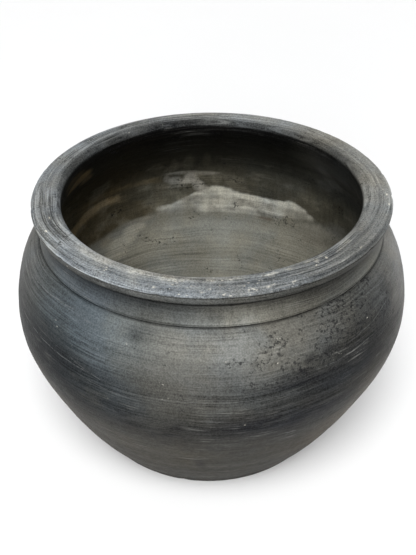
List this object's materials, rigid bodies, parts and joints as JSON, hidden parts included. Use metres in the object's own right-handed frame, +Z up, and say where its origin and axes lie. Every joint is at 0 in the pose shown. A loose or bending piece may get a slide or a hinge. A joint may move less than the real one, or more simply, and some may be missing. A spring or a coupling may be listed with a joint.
{
  "type": "clay pot",
  "caption": "Round-bellied burnished black clay pot with a wide mouth, flat overhanging rim, hollowed neck and scored collar line, standing on a flat underside.",
  "frame": {"origin": "centre of the flat underside, on the pot's axis", "axes": "+Z up along the pot's axis, from the underside to the mouth; +X and +Y are equivalent, the pot is round"},
  "size_m": [0.4, 0.4, 0.2792],
  "materials": {
    "clay_wall": "burnished satin, worn",
    "clay_rim": "burnished satin, chipped and worn pale",
    "clay_base": "matt, unburnished"
  },
  "bodies": {
    "root": {"base_disc": "clay_base", "lower_wall": "clay_wall", "belly_wall": "clay_wall", "shoulder_wall": "clay_wall", "neck_collar": "clay_wall", "rim_coil": "clay_rim"}
  },
  "joints": []
}
